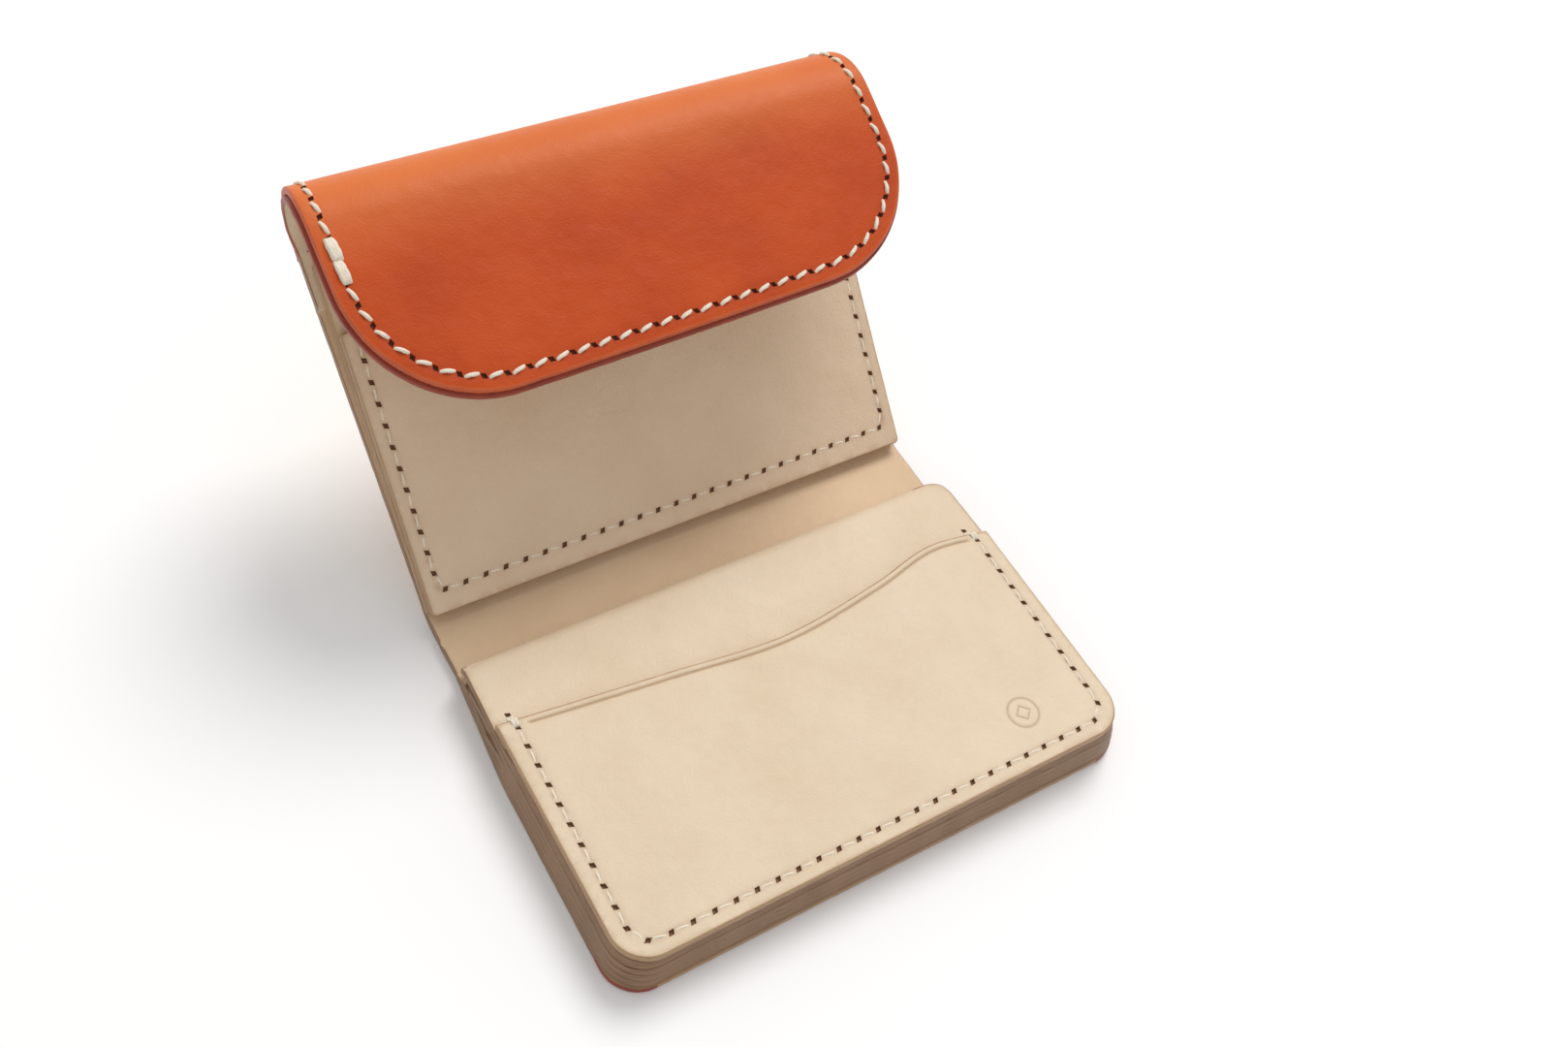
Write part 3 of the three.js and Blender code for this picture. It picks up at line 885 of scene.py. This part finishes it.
def front_pocket():
    node = "front_pocket"
    lo, hi = box_mm(node)
    crease = MOUTH_LINE[np.abs(MOUTH_LINE[:, 0]) < SEAM_HALF - 1.6] - (0, CREASE_TO_MOUTH)
    trough = beside(FRONT_PATH, (-TROUGH_REACH, TROUGH_REACH))
    lines = beside(crease, (-0.5, -0.22, 0, 0.22, 0.5)) + mark_lines()
    outline = lower_outline(hi[0], lo[1], [tuple(p) for p in MOUTH_LINE])
    face = Face(
        FRONT_HOLES,
        lines + trough,
        together(groove(FRONT_PATH, TROUGH_WIDE, TROUGH_DEEP), groove(crease, 0.3, 0.2), mark_press),
        spacing=1.3,
    )
    bottom = box_mm("second_pocket")[1][2] + 0.05  # just clear of the panel below
    obj = panel("front_pocket_panel", outline, on_table(CAD_TOP), CAD_TOP - bottom, face, radius=0.32)
    finish_panel(obj, [NATURAL, PALE_EDGE, HOLE], "natural_leather", node)
    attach(obj, "lower")


TACK_BEYOND = 1.9  # the mouth's end stitches go this far past the mouth
SECOND_RADIUS = 6  # at the right back corner
SECOND_SMALL_RADIUS = 1.5  # at the left one
COVERED = 47  # the front pocket covers the sides of what is below it this far back
DROOP_LENGTH = 3.6
DROOP = 5.0
LINING_DROOP_LENGTH = 3.5
LINING_DROOP = 1.35


def second_pocket():
    """The panel behind the front pocket's mouth, whose back edge bends down to the spine."""
    hi = box_mm("second_pocket")[1]
    half = hi[0] - 0.5
    back = hi[1] + 1.0
    large, small = SECOND_RADIUS, SECOND_SMALL_RADIUS
    corners = arc(half - large, back - large, large, 0, 90)
    corners += arc(small - half, back - small, small, 90, 180, 5)
    tack_holes = np.array([(x, mouth_at(x) + TACK_BEYOND) for x in (-SEAM_HALF, SEAM_HALF)])
    holes = (tack_holes, np.array([(0.0, 1.0)] * 2))
    along = lambda t: np.clip((t - back + DROOP_LENGTH) / DROOP_LENGTH, 0, 1)
    droop = lambda x, t: -DROOP * (1 - np.sqrt(1 - 0.97 * along(t) ** 2))
    steps = back - DROOP_LENGTH * (1 - np.sin(np.linspace(0, math.pi / 2, 12))[:-2])
    face = Face(holes, across(half - 6.5, steps), lift=droop, spacing=1.6)
    under = Face(lift=lambda x, t: -droop(x, t), spacing=1.6)
    lower_layer(
        "second_pocket_panel", "second_pocket", "front_pocket", (SECOND_POCKET_BOTTOM, hi[2] + LAYER_GAP),
        [NATURAL, EDGE, HOLE], corners, CAD_FRONT + COVERED, face, under,
        radius=0.3, bare=lambda x, t: t > back - ON_LINE,
    )


def inner_layers():
    """The lining, the U-shaped welt and the divider, pressed into one burnished wall."""
    materials = [NATURAL, EDGE, HOLE]
    back = box_mm("lower_lining")[1][1]
    lower_layer(
        "lining_panel", "lower_lining", "lower_welt", LINING_LEVELS, [SHADED_BODY_LEATHER, EDGE, HOLE],
        [(SPINE_HALF, back), (-SPINE_HALF, back)], back - 3,
        Face(
            lines=across(SPINE_HALF - 2, np.arange(back - 3.4, back - 0.4, 0.5)),
            lift=lambda x, t: -LINING_DROOP * smoothstep(back - LINING_DROOP_LENGTH, back, t),
        ),
        bare=lambda x, t: t > back - ON_LINE,
    )
    lo, hi = box_mm("lower_welt")
    inner = hi[0] - WELT_WIDTH
    right = [(hi[0], hi[1]), (inner, hi[1]), (inner, lo[1] + WELT_WIDTH)]
    u_shape = right + [(-x, y) for x, y in right[::-1]]
    lower_layer("welt_strip", "lower_welt", "card_divider", WELT_LEVELS, materials, u_shape, hi[1])
    end = box_mm("card_divider")[1][1]
    back_points = [(DIVIDER_BACK_HALF, end), (-DIVIDER_BACK_HALF, end)]
    lower_layer("divider_panel", "card_divider", "second_pocket", DIVIDER_LEVELS, materials, back_points, end)


UNDER_END = CAD_FRONT + 62
UNDER_PATH = u_path(SEAM_HALF, SEAM_FRONT, UNDER_END, UNDER_END, SEAM_RADIUS)
UNDER_HOLES = walk(UNDER_PATH)
PATCH_BACK = box_mm("front_patch")[1][1]
PATCH_TOP = box_mm("front_patch")[1][2] + 0.15
MID_SPINE = (FRONT_FOLD_Y + REAR_FOLD_Y) / 2


def split_holes(holes, keep):
    chosen = np.array([keep(*p) for p in holes[0]])
    return holes[0][chosen], holes[1][chosen]


def body_front():
    """The outer body leather under the lower half, as far as the middle of the spine."""
    half = box_mm("body_lower")[1][0]
    right = [(SPINE_HALF, FRONT_FOLD_Y), (SPINE_HALF, MID_SPINE)]
    outline = lower_outline(half, CAD_FRONT, right + [(-x, y) for x, y in right[::-1]])
    # Over the orange strip the leather is thinned from below.
    step_end = PATCH_BACK + 0.3
    thick = lambda t: FOLD_Z - (PATCH_TOP + LAYER_GAP) * (1 - smoothstep(PATCH_BACK, step_end, t))
    holes = split_holes(UNDER_HOLES, lambda x, t: t > PATCH_BACK + 1)
    ends = across(0.98 * half, (PATCH_BACK, step_end))
    rows = across(SPINE_HALF - 1, np.arange(FRONT_FOLD_Y - 3, MID_SPINE - 0.4, 0.5))
    obj = panel(
        "body_front", outline, on_table(FOLD_Z), thick,
        Face(lines=rows, spacing=2.5, slot=rim_until(outline, FRONT_FOLD_Y - 6)),
        Face(holes, ends + rows, groove(UNDER_PATH, TROUGH_WIDE, TROUGH_FAINT), spacing=2.0),
        radius=0.2, flare=sloping("body_lower", "lower_lining", FRONT_FOLD_Y - 6),
        cut=lambda x, t: t > MID_SPINE - ON_LINE,
    )
    finish_panel(obj, [SHADED_BODY_LEATHER, EDGE, HOLE], "natural_leather", "body_lower")
    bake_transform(obj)


def front_patch():
    """The orange strip under the front edge, whose wall is dyed only near its ends."""
    lo, hi = box_mm("front_patch")
    outline = lower_outline(hi[0], lo[1], [(hi[0], hi[1]), (-hi[0], hi[1])])
    holes = split_holes(UNDER_HOLES, lambda x, t: t < PATCH_BACK - 1)
    obj = panel(
        "front_patch_strip", outline, on_table(PATCH_TOP), PATCH_TOP, Face(spacing=3),
        Face(holes, spacing=1.6), radius=0.2, other=lambda x, t: (np.abs(x) < hi[0] - 8) & (t < lo[1] + 1),
    )
    finish_panel(obj, [ORANGE, DYED_EDGE, ORANGE_HOLE, PALE_EDGE], "orange_leather", "front_patch")
    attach(obj, "lower")


FLUSH = thread_look(half=0.19, tall=0.13, crown=-0.03, gap=0.5)
FLUSH_BELOW = thread_look(half=0.22, tall=0.12, crown=-0.12, side=-1)
LOOP = thread_look(half=0.36, tall=0.3, crown=0.16, slant=0, gap=0.1)


def lower_seams():
    runs = between(FRONT_HOLES[0])
    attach(seam("front_seam_stitches", runs, on_table(CAD_TOP), FLUSH, "front_seam_thread"), "lower")
    runs = between(UNDER_HOLES[0])
    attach(seam("underside_stitches", runs, on_table(0), FLUSH_BELOW, "underside_seam_thread"), "lower")
    for sign, node in ((-1, "mouth_tack_left"), (1, "mouth_tack_right")):
        x = sign * SEAM_HALF
        last = FRONT_HOLES[0][0 if sign < 0 else -1]
        beyond = (x, mouth_at(x) + TACK_BEYOND)
        doubled = [((x + side, last[1]), (x + side, beyond[1]), 1.0) for side in (-0.3, 0.3)]
        obj = seam(node.replace("tack", "end_stitch"), doubled, tack_place(x), LOOP, node)
        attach(obj, "lower")


def tack_place(x):
    """Over the pocket mouth and down onto the second pocket."""
    mouth = mouth_at(x)
    drop = CAD_TOP - box_mm("second_pocket")[1][2]

    def place(across_mouth, t, h):
        level = CAD_TOP + h - drop * smoothstep(mouth - 0.3, mouth + 1.0, t)
        return np.stack([across_mouth, t, level], axis=-1)

    return place


# ---- the upper half ------------------------------------------------------------------------------

UPPER_ROW = 4.6  # the bottom seam row above the rear fold
UPPER_START = 0.3
STEPPED_HALF = 52.0
UPPER_PATH = u_path(SEAM_HALF, UPPER_ROW, POCKET_END - SEAM_END, POCKET_END - SEAM_END, 1.2)
UPPER_HOLES = walk(UPPER_PATH)
BACK_PATH = u_path(SEAM_HALF, UPPER_ROW, STEPPED_END - 1, STEPPED_END - 1, 1.2)
BACK_HOLES = walk(BACK_PATH)
STEPPED_SEAM = 49.7
BODY_SPLIT = 58  # body_back ends here, hidden behind the stepped pocket, and the flap's leather starts


def rounded_rectangle(half, start, end, radius):
    points = arc(radius - half, start + radius, radius, 180, 270, 6)
    points += arc(half - radius, start + radius, radius, 270, 360, 6)
    points += arc(half - radius, end - radius, radius, 0, 90, 6)
    points += arc(radius - half, end - radius, radius, 90, 180, 6)
    return dense(points, 1.2)


def upper_pockets():
    """The two panels on the leaning half, their seams and the seam's run behind them."""
    outline = rounded_rectangle(UPPER_POCKET_HALF, UPPER_START, POCKET_END, 1.0)
    trough = beside(UPPER_PATH, (-TROUGH_REACH, TROUGH_REACH))
    face = Face(UPPER_HOLES, trough, groove(UPPER_PATH, TROUGH_WIDE, TROUGH_DEEP), spacing=1.5)
    thick = POCKET_TOP - STEPPED_TOP - LAYER_GAP
    obj = panel("upper_pocket_panel", outline, on_upper(POCKET_TOP), thick, face)
    finish_panel(obj, [PAINTED_BOUNCE_LEATHER, PALE_EDGE, HOLE], "natural_leather", "upper_pocket")
    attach(obj, "upper")
    outline = rounded_rectangle(STEPPED_HALF, UPPER_START, STEPPED_END, 1.0)
    ends = (POCKET_END + 2, STEPPED_END - SEAM_END)
    columns = [walk([(x, y) for y in ends]) for x in (-STEPPED_SEAM, STEPPED_SEAM)]
    face = Face(tuple(np.vstack([c[k] for c in columns]) for k in (0, 1)), spacing=1.8)
    thick = STEPPED_TOP - LAYER_GAP
    obj = panel("stepped_pocket_panel", outline, on_upper(STEPPED_TOP), thick, face)
    finish_panel(obj, [PAINTED_BOUNCE_LEATHER, PALE_EDGE, HOLE], "natural_leather", "stepped_pocket")
    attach(obj, "upper")
    runs = between(UPPER_HOLES[0])
    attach(seam("upper_seam_stitches", runs, on_upper(POCKET_TOP), FLUSH, "upper_seam_thread"), "upper")
    for column, node in zip(columns, ("stepped_seam_left", "stepped_seam_right")):
        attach(seam(node + "_stitches", between(column[0]), on_upper(STEPPED_TOP), FLUSH, node), "upper")
    place = on_upper(-UPPER_BODY_THICK)
    runs = between(BACK_HOLES[0])
    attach(seam("upper_back_stitches", runs, place, FLUSH_BELOW, "upper_back_seam_thread"), "upper")


def body_back():
    """The body leather from the middle of the spine, round the rear fold and up behind the pockets."""
    end = FOLD_TO - FOLD_TANGENT + BODY_SPLIT
    to_u = lambda t: t - FOLD_TO + FOLD_TANGENT
    half = SPINE_HALF
    top_half = flap_half(BODY_SPLIT - OVERLAY_START)
    right = [(half, MID_SPINE), (UPPER_BODY_HALF, FOLD_TO), (top_half, end)]
    left = [(-x, t) for x, t in right[::-1]]
    outline = dense(right + left, 1.0)
    thick = lambda t: FOLD_Z + (UPPER_BODY_THICK - FOLD_Z) * smoothstep(FOLD_FROM, FOLD_TO + 4, t)
    holes = (BACK_HOLES[0] + (0, FOLD_TO - FOLD_TANGENT), BACK_HOLES[1])
    holes = split_holes(holes, lambda x, t: to_u(t) < BODY_SPLIT - 0.8)
    rows = across(half - 1, np.arange(MID_SPINE + 0.5, FOLD_TO + 3, 0.5))
    path = BACK_PATH + (0, FOLD_TO - FOLD_TANGENT)
    obj = panel(
        "body_back", outline, on_body, thick, Face(lines=rows, spacing=2.5),
        Face(holes, rows, groove(path, TROUGH_WIDE, TROUGH_FAINT), spacing=2.0),
        radius=0.2, cut=lambda x, t: (t < MID_SPINE + ON_LINE) | (t > end - ON_LINE),
    )
    finish_panel(obj, [SHADED_BODY_LEATHER, EDGE, HOLE], "natural_leather", "body_spine", "body_upper")
    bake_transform(obj)


# ---- the flap ------------------------------------------------------------------------------------

LINING_SHOWS = 0.45
LINING_DEPTH = ORANGE_THICK + 0.05  # its outer face below the orange leather's
TIP_BOW = 0.5  # the tip's edge is cut in a slight curve
TIP_SKEW = 1.0  # and a little longer on the left


def flap_outline(start):
    """From start round the tip; the sides widen with t and the tip's corners are round."""
    side = np.arange(start, FLAP_TIP - FLAP_RADIUS, 1.0)
    right = [(flap_half(t), t) for t in side]
    left = [(-x, t) for x, t in right[::-1]]
    corner = arc(FLAP_HALF - FLAP_RADIUS, FLAP_TIP - FLAP_RADIUS, FLAP_RADIUS, 0, 90, 30)
    other = [(-x, t) for x, t in corner[::-1]]
    drawn = dense(right + corner + other + left, 1.2)
    x, t = drawn.T
    longer = TIP_BOW * (1 - (x / FLAP_HALF) ** 2) - TIP_SKEW * x / FLAP_HALF
    return np.stack([x, t + longer * np.clip((t - BEND_END) / TONGUE, 0, 1)], axis=1)


ORANGE_OUTLINE = inset(flap_outline(0.0), 0.15)
SEAM_LOOP = inset(ORANGE_OUTLINE, FLAP_SEAM_INSET)
FLAP_HOLES = walk(dense(SEAM_LOOP, 0.8), closed=True, first=1.3)
TACK_FROM, TACK_TO = BEND_END + 1.0, BEND_END + 9.5


def flap_blend(obj):
    """Bakes the piece's transform into its mesh."""
    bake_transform(obj)


def orange_cover():
    """The orange leather, from the back overlay's lower edge round the bend to the tip."""
    border = inset(ORANGE_OUTLINE, 0.9)
    creases = together(groove(SEAM_LOOP, 0.6, 0.1), groove(border, 0.25, 0.05))
    face = Face(FLAP_HOLES, press=creases, spacing=1.2)
    obj = panel("orange_cover", ORANGE_OUTLINE, on_flap(0.0), ORANGE_THICK, face, Face(), radius=0.42)
    finish_panel(obj, [ORANGE, ORANGE_EDGE, ORANGE_HOLE], "orange_leather", "back_overlay", "flap_outer")
    flap_blend(obj)


def lining_thick(t):
    return UPPER_BODY_THICK + (LINING_THICK - UPPER_BODY_THICK) * smoothstep(2, BACK_RISE + 6, t)


def flap_lining():
    """The natural leather inside the flap, which goes on from body_back over the bend to the tip."""
    start = BODY_SPLIT - OVERLAY_START
    drawn = flap_outline(start)
    outline = inset(drawn, -LINING_SHOWS * smoothstep(0, 8, drawn[:, 1]))
    # Below the orange leather its outer face shows, with the last holes of the back seam.
    down = np.array([0, -OVERLAY_START])
    back_holes = split_holes((BACK_HOLES[0] + down, BACK_HOLES[1]), lambda x, t: t > start + 0.8)
    obj = panel(
        "flap_lining_leather", outline, on_flap(LINING_DEPTH), lining_thick,
        Face(
            back_holes, press=groove(BACK_PATH + down, TROUGH_WIDE, TROUGH_FAINT), spacing=1.8,
            slot=lambda x, t: t > 0.3,
        ),
        Face(
            FLAP_HOLES, press=groove(SEAM_LOOP, TROUGH_WIDE, 0.12), spacing=1.4,
            slot=lambda x, t: 4 + 0 * t,
        ),
        radius=0.25, cut=lambda x, t: t < start + ON_LINE, other=lambda x, t: t < 0.3,
    )
    finish_panel(obj, [SHADED_BODY_LEATHER, DYED_EDGE, HOLE, EDGE, NATURAL], "natural_leather", "flap_lining")
    flap_blend(obj)


PROUD = thread_look(half=0.39, tall=0.33, crown=0.18, sink=0.5, slant=0.8, gap=0.6)
DOUBLED = thread_look(half=0.52, tall=0.6, crown=0.3, sink=0.3, slant=0.3, gap=-0.15)
INNER = thread_look(half=0.36, tall=0.28, crown=0.05, sink=0.5, slant=0.5, gap=0.55, side=-1)


def flap_seams():
    """The seam round the flap, outside and inside, with its doubled stitches."""
    runs = between(FLAP_HOLES[0], closed=True)
    tacked = lambda a, b: a[0] < 0 and TACK_FROM < (a[1] + b[1]) / 2 < TACK_TO
    plain_runs = [r for r in runs if not tacked(r[0], r[1])]
    tack_runs = sorted((r for r in runs if tacked(r[0], r[1])), key=lambda r: r[0][1])
    obj = seam("flap_stitches", plain_runs, on_flap(0.0), PROUD, "flap_seam_thread", "overlay_seam_thread")
    flap_blend(obj)
    # Two stitches on the left are sewn double where the thread starts and ends.
    for (start, end, _), node, wide in zip(tack_runs, ("flap_tack_upper", "flap_tack_lower"), (1.2, 1.0)):
        strands = [(start + (side, 0), end + (side, 0), wide) for side in (-0.42, 0, 0.42)]
        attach(seam(node + "_stitch", strands, on_flap(0.0), DOUBLED, node), "flap")
    inner = lambda x, t, h: on_flap(LINING_DEPTH + lining_thick(t))(x, t, h)
    obj = seam("flap_inner_stitches", runs, inner, INNER, "flap_lining_seam_thread")
    flap_blend(obj)


# ---- stage, lights and camera --------------------------------------------------------------------

CAMERA_AT = Vector((-0.11314, -0.13673, 0.25512))
CAMERA_AIM = Vector((0.00794, -0.00920, 0.0250))
CAMERA_ROLL = math.radians(15.7)
CAMERA_LENS = 36.67


def look_at(obj, target, roll=0.0):
    direction = target - obj.location
    turn = direction.to_track_quat("-Z", "Y").to_matrix()
    obj.rotation_euler = (turn @ Matrix.Rotation(roll, 3, "Z")).to_euler()


def camera():
    data = bpy.data.cameras.new("camera")
    data.lens = CAMERA_LENS
    data.sensor_width = 36.0
    data.clip_start = 0.01
    obj = bpy.data.objects.new("camera", data)
    obj.location = CAMERA_AT
    look_at(obj, CAMERA_AIM, CAMERA_ROLL)
    bpy.context.scene.collection.objects.link(obj)
    bpy.context.scene.camera = obj


def area_light(name, location, target, size, power, colour):
    data = bpy.data.lights.new(name, "AREA")
    data.shape = "DISK"
    data.size = size
    data.energy = power
    data.color = colour
    obj = bpy.data.objects.new(name, data)
    obj.location = location
    look_at(obj, Vector(target))
    bpy.context.scene.collection.objects.link(obj)


FLOOR_HALF = 3.0
FLOOR_DROP = 0.0002
WORLD_LIGHT = 0.66
WINDOW_AT = (0.95, 0.75, 1.75)
WINDOW_SIZE = 1.1
WINDOW_POWER = 26.0


def stage():
    """A plain white table in even light, with one big soft window behind it on the right."""
    mesh = bpy.data.meshes.new("floor")
    r = FLOOR_HALF
    mesh.from_pydata([(-r, -r, 0), (r, -r, 0), (r, r, 0), (-r, r, 0)], [], [(0, 1, 2, 3)])
    floor = bpy.data.objects.new("floor", mesh)
    floor.location.z = -FLOOR_DROP
    bpy.context.scene.collection.objects.link(floor)
    n = Nodes("paper_floor")
    n.shader.inputs["Base Color"].default_value = (0.95, 0.95, 0.95, 1)
    n.shader.inputs["Roughness"].default_value = 0.9
    mesh.materials.append(n.material)
    world = bpy.data.worlds.new("studio")
    world.use_nodes = True
    background = world.node_tree.nodes["Background"]
    background.inputs["Color"].default_value = (1.0, 1.0, 1.0, 1)
    background.inputs["Strength"].default_value = WORLD_LIGHT
    bpy.context.scene.world = world
    bpy.context.scene.view_settings.view_transform = "Standard"
    area_light("window", WINDOW_AT, (0, 0, 0.02), WINDOW_SIZE, WINDOW_POWER, (1.0, 0.985, 0.97))


body_front()
front_patch()
inner_layers()
second_pocket()
front_pocket()
lower_seams()
upper_pockets()
body_back()
orange_cover()
flap_lining()
flap_seams()
stage()
camera()
